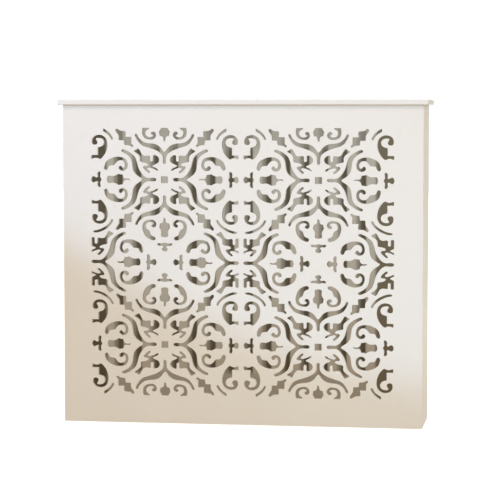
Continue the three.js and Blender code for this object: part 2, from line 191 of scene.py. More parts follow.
def setSurface(tree, shader, tone, roughness):
    feed(tree, shader.inputs["Base Color"], tone)
    feed(tree, shader.inputs["Roughness"], roughness)


def pickShader(tree, factor, first, second, output):
    pick = tree.nodes.new("ShaderNodeMixShader")
    for socket, value in zip(pick.inputs, (factor, first, second)):
        tree.links.new(value, socket)
    tree.links.new(pick.outputs["Shader"], tree.nodes[output].inputs["Surface"])


# finishes
# noises are (scale, detail, roughness), changes are (from low, from high, to low, to high) and
# bumps are (height in metres, strength)

whitePaint = {
    "colour": (0.800, 0.777, 0.748),
    "warmer": (0.775, 0.742, 0.700),
    "clouds": ((3.2, 5, 0.55), (0.35, 0.7, 0, 0.75)),
    "patches": ((21, 4, 0.6), (0.3, 0.7, 0, 0.10)),
    "board": (0.52, 0.40, 0.28),      # bare board where an arris is rubbed
    "arris": (0.52, 0.60, 0, 1),
    "rubbed": ((60, 6, 0.65), (0.56, 0.72, 0, 1)),
    "wearMost": 0.35,
    "dust": (0.60, 0.57, 0.53),
    "facesUp": (0.6, 0.98, 0, 0.16),
    "dusty": ((34, 6, 0.6), (0.3, 0.75, 0.3, 1)),
    "bare": (0.34, 0.285, 0.215),     # fibre board at the back of a cut, darker also as painted shade
    "cutShadeDepth": (-0.0896, -0.0868, 0, 1),
    "bareSpots": ((130, 5, 0.6), (0.3, 0.7, 0.82, 1)),
    "roughness": ((48, 5, 0.6), (0.3, 0.7, 0.40, 0.52)),
    "cutRoughness": ((48, 5, 0.6), (0.3, 0.7, 0.54, 0.68)),
    "sheen": 0.42,
    "peel": (520, 3, 0.5),
    "peelBump": (0.00006, 0.8),
    "waves": (38, 3, 0.5),
    "waveBump": (0.00035, 0.55),
    "cutterStretch": (900, 40, 900),
    "cutterMarks": (1, 3, 0.6),
    "cutterBump": (0.00022, 0.8),
}


def makeWhitePaint(name, look, cutEdge=False):
    material, tree, shader = newMaterial(name)
    vector = objectCoords(tree)
    tone = mixColours(tree, mottle(tree, vector, *look["clouds"]), look["colour"], look["warmer"])
    tone = mixColours(tree, mottle(tree, vector, *look["patches"]), tone, look["warmer"])
    # arrises: paint lies thinner and gets rubbed, in short uneven stretches
    geometry = tree.nodes.new("ShaderNodeNewGeometry")
    arris = span(tree, geometry.outputs["Pointiness"], *look["arris"])
    wear = times(tree, arris, mottle(tree, vector, *look["rubbed"]))
    tone = mixColours(tree, times(tree, wear, look["wearMost"]), tone, look["board"])
    # faint dust on what faces up
    upward = span(tree, axes(tree, geometry.outputs["Normal"])["Z"], *look["facesUp"])
    dust = times(tree, upward, mottle(tree, vector, *look["dusty"]))
    tone = mixColours(tree, dust, tone, look["dust"])
    if cutEdge:
        # the paint thins out into the cut, down to bare fibre board at the back; the darkening deeper in is
        # also painted shade
        depth = span(tree, axes(tree, vector)["Y"], *look["cutShadeDepth"])
        bare = times(tree, depth, mottle(tree, vector, *look["bareSpots"]))
        tone = mixColours(tree, bare, tone, look["bare"])
    roughness = mottle(tree, vector, *look["cutRoughness" if cutEdge else "roughness"])
    setSurface(tree, shader, tone, roughness)
    shader.inputs["Specular IOR Level"].default_value = look["sheen"]
    peel = bump(tree, None, noise(tree, vector, *look["peel"]), *look["peelBump"])
    if cutEdge:
        # fine cutter marks that run through the thickness, under the paint
        marks = noise(tree, objectCoords(tree, look["cutterStretch"]), *look["cutterMarks"])
        bump(tree, shader, marks, *look["cutterBump"], peel)
    else:
        bump(tree, shader, noise(tree, vector, *look["waves"]), *look["waveBump"], peel)
    return material


pineLook = {
    "pale": (0.74, 0.56, 0.35),
    "dark": (0.50, 0.31, 0.15),
    "knot": (0.26, 0.13, 0.06),
    "stretch": (46, 2.2),             # how dense the figure is across and along the grain
    "rings": {"Scale": 0.55, "Distortion": 5.5, "Detail": 3, "Detail_Scale": 1.3},
    "ringStops": ((0.0, "dark"), (0.35, "pale"), (0.8, "pale"), (1.0, "dark")),
    "fibreFiner": 14,
    "fibres": (1, 4, 0.6),
    "fibreTone": (0.35, 0.75, 0, 0.35),
    "knotStretch": (26, 5),
    "knotTone": (0.10, 0.22, 0.85, 0),
    "roughness": (0.3, 0.7, 0.62, 0.8),
    "bump": (0.00012, 0.6),
}


def grainScale(stretch, along, finer=1):
    across, down = stretch
    scale = [across * finer] * 3
    scale[along] = down * finer
    return tuple(scale)


def makePine(name, look, along):
    material, tree, shader = newMaterial(name)
    rings = addNode(tree, "ShaderNodeTexWave", **look["rings"])
    rings.wave_type = "RINGS"
    rings.rings_direction = "XYZ"[along]
    tree.links.new(objectCoords(tree, grainScale(look["stretch"], along)), rings.inputs["Vector"])
    figure = ramp(tree, rings.outputs["Fac"], [(place, look[tone]) for place, tone in look["ringStops"]])
    fine = objectCoords(tree, grainScale(look["stretch"], along, look["fibreFiner"]))
    fibre = noise(tree, fine, *look["fibres"])
    tone = mixColours(tree, span(tree, fibre, *look["fibreTone"]), figure, look["dark"])
    knots = addNode(tree, "ShaderNodeTexVoronoi", Scale=1)
    tree.links.new(objectCoords(tree, grainScale(look["knotStretch"], along)), knots.inputs["Vector"])
    tone = mixColours(tree, span(tree, knots.outputs["Distance"], *look["knotTone"]), tone, look["knot"])
    setSurface(tree, shader, tone, span(tree, fibre, *look["roughness"]))
    bump(tree, shader, fibre, *look["bump"])
    return material


zincLook = {
    "colour": (0.47, 0.475, 0.47),
    "bloom": (0.34, 0.345, 0.34),
    "spangle": ((160, 5, 0.65), (0.4, 0.72, 0, 0.8)),
    "roughness": ((420, 4, 0.6), (0.3, 0.7, 0.34, 0.54)),
    "drawStretch": (300, 2400, 2400),
    "drawLines": (1, 3, 0.6),
    "drawBump": (0.00003, 0.5),
}


def makeZinc(name, look):
    material, tree, shader = newMaterial(name)
    shader.inputs["Metallic"].default_value = 1.0
    vector = objectCoords(tree)
    tone = mixColours(tree, mottle(tree, vector, *look["spangle"]), look["colour"], look["bloom"])
    setSurface(tree, shader, tone, mottle(tree, vector, *look["roughness"]))
    lines = noise(tree, objectCoords(tree, look["drawStretch"]), *look["drawLines"])
    bump(tree, shader, lines, *look["drawBump"])
    return material


beechLook = {
    "pale": (0.66, 0.46, 0.28),
    "dark": (0.47, 0.29, 0.15),
    "stretch": (700, 120, 120),
    "flecks": (1, 4, 0.6),
    "fleckTone": (0.4, 0.7, 0, 1),
    "roughness": (0.3, 0.7, 0.55, 0.75),
    "bump": (0.0001, 0.5),
}


def makeBeech(name, look):
    material, tree, shader = newMaterial(name)
    fleck = noise(tree, objectCoords(tree, look["stretch"]), *look["flecks"])
    tone = mixColours(tree, span(tree, fleck, *look["fleckTone"]), look["pale"], look["dark"])
    setSurface(tree, shader, tone, span(tree, fleck, *look["roughness"]))
    bump(tree, shader, fleck, *look["bump"])
    return material


paintFace = makeWhitePaint("satin white paint", whitePaint)
paintCut = makeWhitePaint("white paint on cut edge with painted shade", whitePaint, cutEdge=True)
pineX = makePine("pine along x", pineLook, 0)
pineY = makePine("pine along y", pineLook, 1)
pineZ = makePine("pine along z", pineLook, 2)
zinc = makeZinc("bright zinc", zincLook)
beech = makeBeech("beech dowel", beechLook)
print("finishes made")


# mesh helpers

def linkPiece(mesh, name, materials, replaced):
    piece = newObject(name, mesh)
    mesh.materials.clear()
    for material in materials:
        mesh.materials.append(material)
    for polygon in mesh.polygons:
        polygon.material_index = 0
    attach(piece, "root")
    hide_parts(*replaced)
    return piece


def meshFrom(shape, name):
    mesh = bpy.data.meshes.new(name)
    shape.to_mesh(mesh)
    shape.free()
    return mesh


def resize(shape, factor):
    bmesh.ops.scale(shape, vec=(factor, factor, factor), verts=shape.verts)


# a box between two corners with all its edges eased
def easedBox(low, high, ease, steps):
    shape = bmesh.new()
    bmesh.ops.create_cube(shape, size=1)
    size = Vector(high) - Vector(low)
    middle = (Vector(high) + Vector(low)) / 2
    fit = Matrix.Translation(middle) @ Matrix.Diagonal((*size, 1))
    bmesh.ops.transform(shape, matrix=fit, verts=shape.verts)
    bmesh.ops.bevel(shape, geom=list(shape.edges), offset=ease, segments=steps, profile=0.5,
                    affect="EDGES", clamp_overlap=True)
    bmesh.ops.recalc_face_normals(shape, faces=shape.faces)
    return shape


def turnTo(direction):
    return Vector((0, 0, 1)).rotation_difference(Vector(direction).normalized()).to_matrix().to_4x4()


# a closed turned body: profile pairs are (radius, distance) and start and end on the axis
def turnedBody(shape, profile, place, direction, steps):
    matrix = Matrix.Translation(Vector(place)) @ turnTo(direction)
    angles = [2 * math.pi * k / steps for k in range(steps)]
    rings = []
    for radius, along in profile:
        spots = [(radius * math.cos(angle), radius * math.sin(angle), along) for angle in angles]
        if radius == 0:
            spots = [(0, 0, along)]
        rings.append([shape.verts.new(matrix @ Vector(spot)) for spot in spots])
    for first, second in zip(rings, rings[1:]):
        for k in range(steps):
            n = (k + 1) % steps
            if len(first) == 1:
                shape.faces.new((first[0], second[n], second[k]))
            elif len(second) == 1:
                shape.faces.new((first[k], first[n], second[0]))
            else:
                shape.faces.new((first[k], first[n], second[n], second[k]))


# take a tool mesh out of a piece with the fast closed-mesh solver
def subtract(mesh, tool, name):
    body = newObject(name + "Raw", mesh)
    cutter = newObject(name + "Tool", tool)
    modifier = body.modifiers.new("cut", "BOOLEAN")
    modifier.object = cutter
    modifier.operation = "DIFFERENCE"
    modifier.solver = "MANIFOLD"
    bpy.context.view_layer.update()
    evaluated = body.evaluated_get(bpy.context.evaluated_depsgraph_get())
    result = bpy.data.meshes.new_from_object(evaluated)
    result.name = name
    bpy.data.objects.remove(body)
    bpy.data.objects.remove(cutter)
    return result


# flats stay flat, rounded stretches shade round
def softShade(mesh, degrees):
    for polygon in mesh.polygons:
        polygon.use_smooth = True
    mesh.set_sharp_from_angle(angle=math.radians(degrees))


def openEdges(mesh):
    shape = bmesh.new()
    shape.from_mesh(mesh)
    count = sum(1 for edge in shape.edges if not edge.is_manifold)
    shape.free()
    return count


# fittings: where every screw and dowel goes, in millimetres

cabinet = {
    "width": 900, "height": 795, "depth": 190,
    "front": 12, "side": 12, "shelf": 12,
    "shelfSide": 12, "shelfFront": 10,
    "batten": 18,
}
frontY = -(cabinet["depth"] + cabinet["shelfFront"]) / 2 + cabinet["shelfFront"]
wallY = frontY + cabinet["depth"]
backY = frontY + cabinet["front"]
innerX = cabinet["width"] / 2 - cabinet["side"]
battenTop = cabinet["height"] - cabinet["batten"]

fittings = {
    "screwLength": 25, "shortScrew": 11, "shank": 2.0, "head": 3.8, "headDeep": 2.0,
    "gap": 0.3, "drillOut": 1, "holeSteps": 28,
    "dowelRadius": 3, "dowelLength": 22, "dowelInFace": 8,
    "frontScrews": (120, 400, 680), "sideScrews": (170, 450, 730),
    "sideShelfScrews": (30, 110), "sideRimScrews": (55, 135),
    "frontShelfScrews": (-320, -320 / 3, 320 / 3, 320), "frontRimScrews": (-215, 0, 215),
    "frontDowels": (75, 590), "shelfDowels": (50, 140),
    "bracketLeg": 50, "bracketWide": 20, "bracketThick": 2, "bracketDrop": 24,
    "bracketScrews": (15, 35), "bracketWallHole": 35, "bracketHole": 2.6,
}


def listFittings():
    rows = []

    def add(name, kind, places, direction, *through):
        for i, place in enumerate(places):
            rows.append((f"{name}_{i + 1}", kind, place, direction, through))

    inFace = fittings["dowelInFace"]
    middleY = backY + cabinet["batten"] / 2
    battenY = backY + cabinet["batten"]
    rimZ = battenTop + cabinet["batten"] / 2
    bracketY = wallY - fittings["bracketLeg"]
    bracketZ = battenTop - fittings["bracketDrop"] + fittings["bracketWide"] / 2
    for side, word in sides:
        middleX = side * (innerX - cabinet["batten"] / 2)
        faceX = side * (innerX - cabinet["batten"])
        edgeX = side * (cabinet["width"] / 2 - cabinet["side"] / 2)
        steelX = side * (innerX - fittings["bracketThick"])
        corner, rim, panel = f"corner_batten_{word}", f"top_batten_{word}", f"side_panel_{word}"
        add(f"front_screw_{word}", "screw", [(middleX, battenY, z) for z in fittings["frontScrews"]],
            (0, -1, 0), corner, "front_panel")
        add(f"side_screw_{word}", "screw", [(faceX, middleY, z) for z in fittings["sideScrews"]],
            (side, 0, 0), corner, panel)
        add(f"shelf_screw_{word}", "screw",
            [(middleX, battenY + y, battenTop) for y in fittings["sideShelfScrews"]],
            (0, 0, 1), rim, "top_shelf")
        add(f"rim_screw_{word}", "screw", [(faceX, battenY + y, rimZ) for y in fittings["sideRimScrews"]],
            (side, 0, 0), rim, panel)
        add(f"bracket_screw_{word}", "shortScrew",
            [(steelX, bracketY + y, bracketZ) for y in fittings["bracketScrews"]],
            (side, 0, 0), f"wall_bracket_{word}", panel)
        add(f"front_dowel_{word}", "dowel", [(edgeX, backY - inFace, z) for z in fittings["frontDowels"]],
            (0, 1, 0), "front_panel", panel)
        add(f"shelf_dowel_{word}", "dowel",
            [(edgeX, backY + y, cabinet["height"] + inFace) for y in fittings["shelfDowels"]],
            (0, 0, -1), "top_shelf", panel)
    add("shelf_screw_front", "screw", [(x, middleY, battenTop) for x in fittings["frontShelfScrews"]],
        (0, 0, 1), "top_batten_front", "top_shelf")
    add("rim_screw_front", "screw", [(x, battenY, rimZ) for x in fittings["frontRimScrews"]],
        (0, -1, 0), "top_batten_front", "front_panel")
    return rows


allFittings = listFittings()


# one tool mesh with all the holes that a board needs, in metres
def drillFor(node):
    gap, out = fittings["gap"], fittings["drillOut"]
    shape = bmesh.new()
    for _, kind, place, direction, through in allFittings:
        if node not in through:
            continue
        if kind == "dowel":
            radius, length = fittings["dowelRadius"] + gap, fittings["dowelLength"] + gap
            profile = [(0, -gap), (radius, -gap), (radius, length), (0, length)]
        else:
            length = gap + fittings["screwLength" if kind == "screw" else "shortScrew"]
            head, shank = fittings["head"] + gap, fittings["shank"] + gap
            profile = [(0, -out), (head, -out), (head, 0), (shank, fittings["headDeep"]),
                       (shank, length), (0, length)]
        turnedBody(shape, profile, place, direction, fittings["holeSteps"])
    bmesh.ops.recalc_face_normals(shape, faces=shape.faces)
    resize(shape, mm)
    return meshFrom(shape, node + "Drill")


# plain boards and battens

boards = {
    "ease": 0.9,
    "shelfEase": 1.6,
    "battenEase": 1.2,
    "easeSteps": 3,
    "floorGap": 30,
    "wallGap": 12,
    "softAngle": 20,
}


def addBoard(node, low, high, ease, material):
    shape = easedBox([v * mm for v in low], [v * mm for v in high], ease * mm, boards["easeSteps"])
    mesh = subtract(meshFrom(shape, node), drillFor(node), node)
    softShade(mesh, boards["softAngle"])
    piece = linkPiece(mesh, node + "_board", [material], [node])
    weigh = piece.modifiers.new("even normals", "WEIGHTED_NORMAL")
    weigh.keep_sharp = True


battenBack = backY + cabinet["batten"]
shelfTop = cabinet["height"] + cabinet["shelf"]
overX = cabinet["width"] / 2 + cabinet["shelfSide"]
for side, word in sides:
    near, far = sorted((side * innerX, side * cabinet["width"] / 2))
    addBoard(f"side_panel_{word}", (near, backY, 0), (far, wallY, cabinet["height"]),
             boards["ease"], paintFace)
    near, far = sorted((side * (innerX - cabinet["batten"]), side * innerX))
    addBoard(f"corner_batten_{word}", (near, backY, boards["floorGap"]), (far, battenBack, battenTop),
             boards["battenEase"], pineZ)
    addBoard(f"top_batten_{word}", (near, battenBack, battenTop),
             (far, wallY - boards["wallGap"], cabinet["height"]), boards["battenEase"], pineY)
addBoard("top_batten_front", (-innerX, backY, battenTop), (innerX, battenBack, cabinet["height"]),
         boards["battenEase"], pineX)
addBoard("top_shelf", (-overX, frontY - cabinet["shelfFront"], cabinet["height"]), (overX, wallY, shelfTop),
         boards["shelfEase"], paintFace)
print("boards and battens made")


# fretwork front sheet, in millimetres
# every outline is measured from the small square of its row: x outwards, z away from the row.
# a list is one smooth line, and where one list ends and the next starts there is a corner

fretwork = {
    "tileOffset": 192.5,
    "tileHalfWidth": 186,
    "rowPitch": 411.6,
    "lowerRow": 197.6,
    "rowCut": 128.3,
    "arcCut": 155.5,
    "turnX": 207.8,
    "squareHalf": 8.2,
    "stepsMiddle": 101.5,
    "smoothing": 8,
    "samePoint": 0.001,
    "longestStep": 6,
    "tolerance": 0.05,
    "grow": 0.5,         # what the cutter took beyond the drawn line
    "sharpTurn": 0.2,
    "fewestPoints": 8,
    "ease": 0.4,
    "weld": 0.002,
    "softAngle": 20,
    # the cut edges: faces that don't look to the front, inside the sheet's rim
    "cutNormal": 0.3,
    "cutReach": 440,
    "cutHeights": (10, 785),
}

sprigUpHalf = [[
    (0, 39.3), (2.4, 40), (3.4, 43), (3.4, 53), (5.4, 60.3), (12, 67.4), (22, 73.4), (40, 79.8),
    (53, 83.9), (61, 88.6), (67.3, 96.3), (72.3, 105), (74.5, 110.3), (72.3, 113.5), (69.7, 111.8),
    (65.6, 104.2), (59.5, 97.8), (51, 92.4), (40, 89.9), (27, 88.7), (17, 85), (9, 78.2), (4, 71.3),
    (0, 67.9)]]
sprigSideHalf = [[
    (21.5, 0), (22.6, 2.6), (26, 3.9), (32, 4.1), (40, 3.5), (46, 4.7), (53, 9.2), (59.5, 17),
    (65, 26), (68.3, 35.5), (71.2, 46.5), (75.5, 56.5), (82, 63), (91, 69.3), (99.5, 73),
    (105, 74.9), (108.6, 73.4), (108.9, 70.6), (103, 67.2), (94.5, 62.3), (87.3, 55), (83, 46.5),
    (81, 34), (78.7, 22), (73, 13.5), (64, 6.6), (57.5, 2.6), (56, 0)]]
leaf = [[
    (28.2, 60), (24.5, 60.6), (19, 58.3), (14.8, 53.5), (13.9, 49), (16, 43.4), (21, 39.8),
    (28, 36.6), (31.3, 34.2), (29, 31.7), (22.5, 29), (17.6, 25.3), (17, 22.8), (19.5, 22.9),
    (26.5, 26.8), (34, 29.3), (40.5, 30.2), (44, 27.5), (42.4, 24.4), (37.9, 20.6), (37.2, 17.5),
    (40, 17), (47, 22), (52.3, 28), (53.2, 31.5), (50.3, 33.4), (44.5, 33.8), (41.2, 36.6),
    (44, 40.3), (51, 42.8), (58.3, 44), (61.6, 46.6), (61.5, 53.5), (63.5, 59.5), (69, 64.9),
    (77, 70.7), (71.5, 74.3), (66.8, 76.7), (63.8, 74), (59.5, 66.6), (54.7, 60.2), (48, 58.4),
    (39, 59.4), (36.9, 57.5), (36.8, 50), (35.6, 45.4), (33, 44.7), (29.9, 45.8), (28.8, 49.5),
    (28.9, 57), (28.2, 60)]]
stepped = [
    [(84.2, 105.8), (84.2, 92)],
    [(84.2, 92), (84, 89.5), (81.8, 87.2), (79.5, 84.7), (80.3, 81.6), (83, 81.7), (87.5, 84.5),
     (93, 85.9), (100.6, 86.4)],
    [(100.6, 86.4), (102.5, 97.9)],
    [(102.5, 97.9), (115.4, 98.2)],
    [(115.4, 98.2), (115.4, 104), (116.2, 110.3), (120, 116), (123.3, 120.5), (123.2, 124.6),
     (120.6, 126.1), (117.5, 124.4), (113, 121.4), (106, 120.3), (99, 119.8)],
    [(99, 119.8), (98.3, 114), (99.4, 106)],
    [(99.4, 106), (84.2, 105.8)]]
scrollTall = [[
    (27, 150.5), (31, 150.7), (37, 148.6), (43, 145.5), (48, 140.8), (52.2, 134), (54.9, 126),
    (55.9, 117.5), (54.6, 110.3), (51, 104.8), (45, 101.5), (36, 99.9), (29, 100.7), (23.8, 104.7),
    (21.7, 110.5), (24, 116.9), (28.5, 118.9), (32.4, 117.2), (33.4, 114), (31, 111.9),
    (28.2, 109.6), (30.7, 106.5), (38, 105.1), (44.5, 107.4), (48, 112.5), (47.8, 119.4),
    (44.5, 123.2), (39.8, 126.3), (37.8, 131), (35.6, 137), (31.5, 140.7), (25.7, 143),
    (23.7, 146.5), (24.7, 149.4), (27, 150.5)]]
scrollWide = [[
    (58.8, 182.3), (55.8, 180.6), (54.8, 177), (56.3, 170.5), (58.3, 164.8), (63.6, 158.6),
    (72, 153.9), (82, 150.3), (93, 149.6), (102, 151.4), (108.5, 154.7), (112.8, 162),
    (114.3, 170), (112.6, 177.3), (108, 182), (102, 183.8), (96, 182.4), (92, 178.6), (92, 174.8),
    (95.4, 172), (98.6, 173.4), (101.3, 176.8), (105, 176.6), (108, 172), (107.6, 165),
    (103.5, 159.5), (97, 157.4), (90, 158.8), (84, 164.6), (79.8, 169.5), (72, 170.6), (67, 172),
    (64, 177.5), (61.7, 181.2), (58.8, 182.3)]]
edgeScroll = [
    [(169.2, 60.5), (169.4, 70), (169.3, 79.4)],
    [(169.3, 79.4), (163, 80.9), (157, 83.8), (153.9, 88.5), (153.2, 93), (155.2, 98.6),
     (160, 102.4), (167, 103.8), (172.5, 103.4), (174.3, 100.4), (172, 96.2), (170.6, 92.5),
     (172.2, 88.4), (178, 86.8), (182.5, 88.3), (184.1, 95), (182.2, 102.5), (177.5, 107.6),
     (171, 110.1), (163, 110.5), (155.5, 108), (149.5, 102.8), (145.9, 94.5), (145.1, 85.5),
     (146.6, 75.5), (151, 64.8), (157.5, 56), (161.5, 52.2), (165, 51.2), (170, 53.6),
     (176, 54.3), (181, 52.8), (185.2, 51.4)],
    [(185.2, 51.4), (185.5, 60.3)],
    [(185.5, 60.3), (169.2, 60.5)]]
arcStroke = [[
    (132.5, 99.4), (130.8, 101.6), (132.6, 106), (136.5, 112), (142, 117.8), (149, 123.2),
    (157, 127.5), (166, 130.9), (174, 132.7), (180, 132.4), (182.2, 130.6), (180, 128.6),
    (172, 127.1), (163, 124.1), (154, 119.6), (146, 114.4), (140, 108.8), (136.2, 103),
    (134.3, 99.7), (132.5, 99.4)]]
tulipUpHalf = [
    [(0, 143), (4.5, 142.4), (8.2, 140.2), (8.4, 136), (7.8, 131.5), (8.6, 126.5), (11.2, 121.8),
     (13, 118.6), (11.9, 114), (11.3, 109.2)],
    [(11.3, 109.2), (6, 107.9), (3.4, 105.2), (2.1, 101), (2, 97.5), (0, 95.2)]]
tulipSide = [
    [(145.8, 0), (145, 4.5), (142.8, 8.3), (138, 8.4), (131.5, 7.8), (125, 9.3), (120.5, 11.8),
     (117, 13.4), (112, 12.3), (106.5, 11.9)],
    [(106.5, 11.9), (105.2, 6.6), (103, 3.4), (99.5, 2.2), (95, 2.4), (90.5, 1.9), (87.6, 0.2)],
    [(87.6, 0.2), (88.4, -1), (91.5, -0.3), (95, 0), (99.5, -1), (103, -3.4), (105.2, -6.6),
     (106.5, -11.9)],
    [(106.5, -11.9), (112, -12.3), (117, -13.4), (120.5, -11.8), (125, -9.3), (131.5, -7.8),
     (138, -8.4), (142.8, -8.3), (145, -4.5), (145.8, 0)]]
teeSideHalf = [[
    (160.7, 0), (161.6, 2.4), (163.3, 5), (163.8, 10), (163, 16), (163.6, 18.9), (166, 19.3),
    (169, 17), (170.1, 13.5), (169.6, 7.5), (170.6, 4.6), (174.5, 4.6), (178.5, 6.8),
    (181.5, 7.7), (184.6, 5), (185.9, 1.5), (186, 0)]]
teeUpHalf = [[
    (0, 178.3), (3.5, 177.6), (6.8, 174.8), (6.7, 171.6), (3.9, 168.8), (3.6, 166.6), (7.5, 164),
    (13.5, 164.4), (17.6, 162.6), (18.6, 160), (16.5, 158.6), (9.5, 159.3), (4, 158), (0, 157.2)]]


# smooth line through the points of one list, with even speed so that tight bends stay clean
def smoothLine(points):
    if len(points) < 3:
        return list(points)
    closed = points[0] == points[-1]
    spots = [Vector(p) for p in points]
    if closed:
        spots = [spots[-2]] + spots + [spots[1]]
    else:
        spots = [2 * spots[0] - spots[1]] + spots + [2 * spots[-1] - spots[-2]]
    line = []
    for a, b, c, d in zip(spots, spots[1:], spots[2:], spots[3:]):
        t1 = (b - a).length ** 0.5
        t2 = t1 + (c - b).length ** 0.5
        t3 = t2 + (d - c).length ** 0.5
        for k in range(fretwork["smoothing"]):
            t = t1 + (t2 - t1) * k / fretwork["smoothing"]
            p = a.lerp(b, t / t1)
            q = b.lerp(c, (t - t1) / (t2 - t1))
            r = c.lerp(d, (t - t2) / (t3 - t2))
            coming = p.lerp(q, t / t2)
            going = q.lerp(r, (t - t1) / (t3 - t1))
            line.append(tuple(coming.lerp(going, (t - t1) / (t2 - t1))))
    line.append(points[-1])
    return line


def withoutRepeats(ring):
    return [p for i, p in enumerate(ring) if math.dist(p, ring[i - 1]) > fretwork["samePoint"]]


def ringOf(lists):
    return withoutRepeats([p for points in lists for p in smoothLine(points)])


def mirroredRing(half, flipX, flipZ):
    other = [[(x * flipX, z * flipZ) for x, z in reversed(points)] for points in reversed(half)]
    return ringOf(half + other)


# keep what lies below a limit on x (0) or z (1)
def below(ring, axis, limit):
    kept = []
    for i, point in enumerate(ring):
        before = ring[i - 1]
        if (point[axis] <= limit) != (before[axis] <= limit):
            t = (limit - before[axis]) / (point[axis] - before[axis])
            kept.append(tuple(v + t * (w - v) for v, w in zip(before, point)))
        if point[axis] <= limit:
            kept.append(point)
    return withoutRepeats(kept)


# how far the points between two others lie from the straight line that joins them
def bow(points, start, end):
    (ax, az), (bx, bz) = start, end
    length = math.dist(start, end) or 1
    return max(abs((bx - ax) * (z - az) - (bz - az) * (x - ax)) / length for x, z in points)


# leave out points that the line does not need
def lighter(ring):
    kept = [ring[0]]
    i = 0
    while i < len(ring) - 1:
        j = i + 1
        while j + 1 < len(ring) and math.dist(ring[i], ring[j + 1]) < fretwork["longestStep"]:
            if bow(ring[i + 1:j + 1], ring[i], ring[j + 1]) > fretwork["tolerance"]:
                break
            j += 1
        kept.append(ring[j])
        i = j
    return withoutRepeats(kept)


# move a ring outwards, without the small loops that this makes in sharp inner corners
def grown(ring, distance):
    area = sum(ring[i - 1][0] * ring[i][1] - ring[i][0] * ring[i - 1][1] for i in range(len(ring)))
    side = math.copysign(distance, area)
    moved = []
    for i, (x, z) in enumerate(ring):
        before, after = ring[i - 1], ring[(i + 1) % len(ring)]
        first, second = Vector((x, z)) - Vector(before), Vector(after) - Vector((x, z))
        along = first.normalized() + second.normalized()
        if along.length < fretwork["sharpTurn"]:
            along = first
        along.normalize()
        moved.append((x + along.y * side, z - along.x * side))

    def step(points, i):
        return Vector(points[i]) - Vector(points[i - 1])

    while True:
        kept = [i for i in range(len(ring)) if step(moved, i).dot(step(ring, i)) > 0]
        if len(kept) == len(ring) or len(kept) < fretwork["fewestPoints"]:
            return moved
        ring, moved = [ring[i] for i in kept], [moved[i] for i in kept]


def turned(ring):
    return [(fretwork["turnX"] - x, fretwork["rowPitch"] / 2 - z) for x, z in ring]


def turnedAcross(ring):
    return [(fretwork["turnX"] - x, -z) for x, z in ring]


def swapped(ring):
    return [(2 * fretwork["stepsMiddle"] - x, z) for x, z in ring]


def fretworkRings():
    half = fretwork["squareHalf"]
    square = [(-half, -half), (half, -half), (half, half), (-half, half)]
    sprigUp = mirroredRing(sprigUpHalf, -1, 1)
    sprigSide = mirroredRing(sprigSideHalf, 1, -1)
    tulipUp = mirroredRing(tulipUpHalf, -1, 1)
    tulipAcross = ringOf(tulipSide)
    teeSide = mirroredRing(teeSideHalf, 1, -1)
    teeUp = mirroredRing(teeUpHalf, -1, 1)
    leafRing, stepsRing = ringOf(leaf), ringOf(stepped)
    tall, wide = ringOf(scrollTall), ringOf(scrollWide)
    edge, stroke = ringOf(edgeScroll), ringOf(arcStroke)
    cuts = []

    def cut(ring, x, z, flipX=1, flipZ=1):
        wider = grown(lighter(ring), fretwork["grow"])
        cuts.append([(x + flipX * px, z + flipZ * pz) for px, pz in wider])

    for tile in (-1, 1):
        tileX = tile * fretwork["tileOffset"]
        for row in (0, 1):
            rowZ = fretwork["lowerRow"] + row * fretwork["rowPitch"]
            cut(square, tileX, rowZ)
            for up in (-1, 1):
                outer = (up == 1) == (row == 1)
                cut(sprigUp, tileX, rowZ, 1, up)
                cut(below(tulipUp, 1, fretwork["rowCut"]) if outer else tulipUp, tileX, rowZ, 1, up)
                if not outer:
                    cut(teeUp, tileX, rowZ, 1, up)
                for side in (-1, 1):
                    shapes = [leafRing, turned(wide), edge]
                    footCorner = row == 0 and up == -1 and side == tile
                    shapes.append(swapped(stepsRing) if footCorner else stepsRing)
                    if outer:
                        shapes.append(below(tall, 1, fretwork["rowCut"]))
                        shapes.append(below(stroke, 0, fretwork["arcCut"]))
                    else:
                        shapes += [tall, stroke, wide]
                        shapes.append(below(turned(leafRing), 0, fretwork["tileHalfWidth"]))
                    for ring in shapes:
                        cut(ring, tileX, rowZ, side, up)
            for side in (-1, 1):
                cut(sprigSide, tileX, rowZ, side)
                cut(tulipAcross, tileX, rowZ, side, 1 if row == 1 else -1)
                cut(teeSide, tileX, rowZ, side)
        middleZ = fretwork["lowerRow"] + fretwork["rowPitch"] / 2
        for side in (-1, 1):
            for ring in (sprigSide, tulipAcross, teeSide):
                cut(turnedAcross(ring), tileX, middleZ, side)
    return cuts


# a filled flat curve with its holes, given thickness and a small eased arris all round
def sheetMesh(outer, holes, thickness, ease, name):
    curve = bpy.data.curves.new(name, "CURVE")
    curve.dimensions = "2D"
    curve.fill_mode = "BOTH"
    curve.extrude = (thickness / 2 - ease) * mm
    curve.bevel_depth = ease * mm
    curve.bevel_resolution = 1
    curve.offset = -ease * mm
    for ring in [outer] + holes:
        spline = curve.splines.new("POLY")
        spline.points.add(len(ring) - 1)
        for point, (x, z) in zip(spline.points, ring):
            point.co = (x * mm, z * mm, 0, 1)
        spline.use_cyclic_u = True
    holder = newObject(name + "Curve", curve)
    bpy.context.view_layer.update()
    mesh = bpy.data.meshes.new_from_object(holder.evaluated_get(bpy.context.evaluated_depsgraph_get()))
    bpy.data.objects.remove(holder)
    shape = bmesh.new()
    shape.from_mesh(mesh)
    bmesh.ops.remove_doubles(shape, verts=shape.verts, dist=fretwork["weld"] * mm)
    bmesh.ops.recalc_face_normals(shape, faces=shape.faces)
    shape.to_mesh(mesh)
    shape.free()
    mesh.name = name
    return mesh


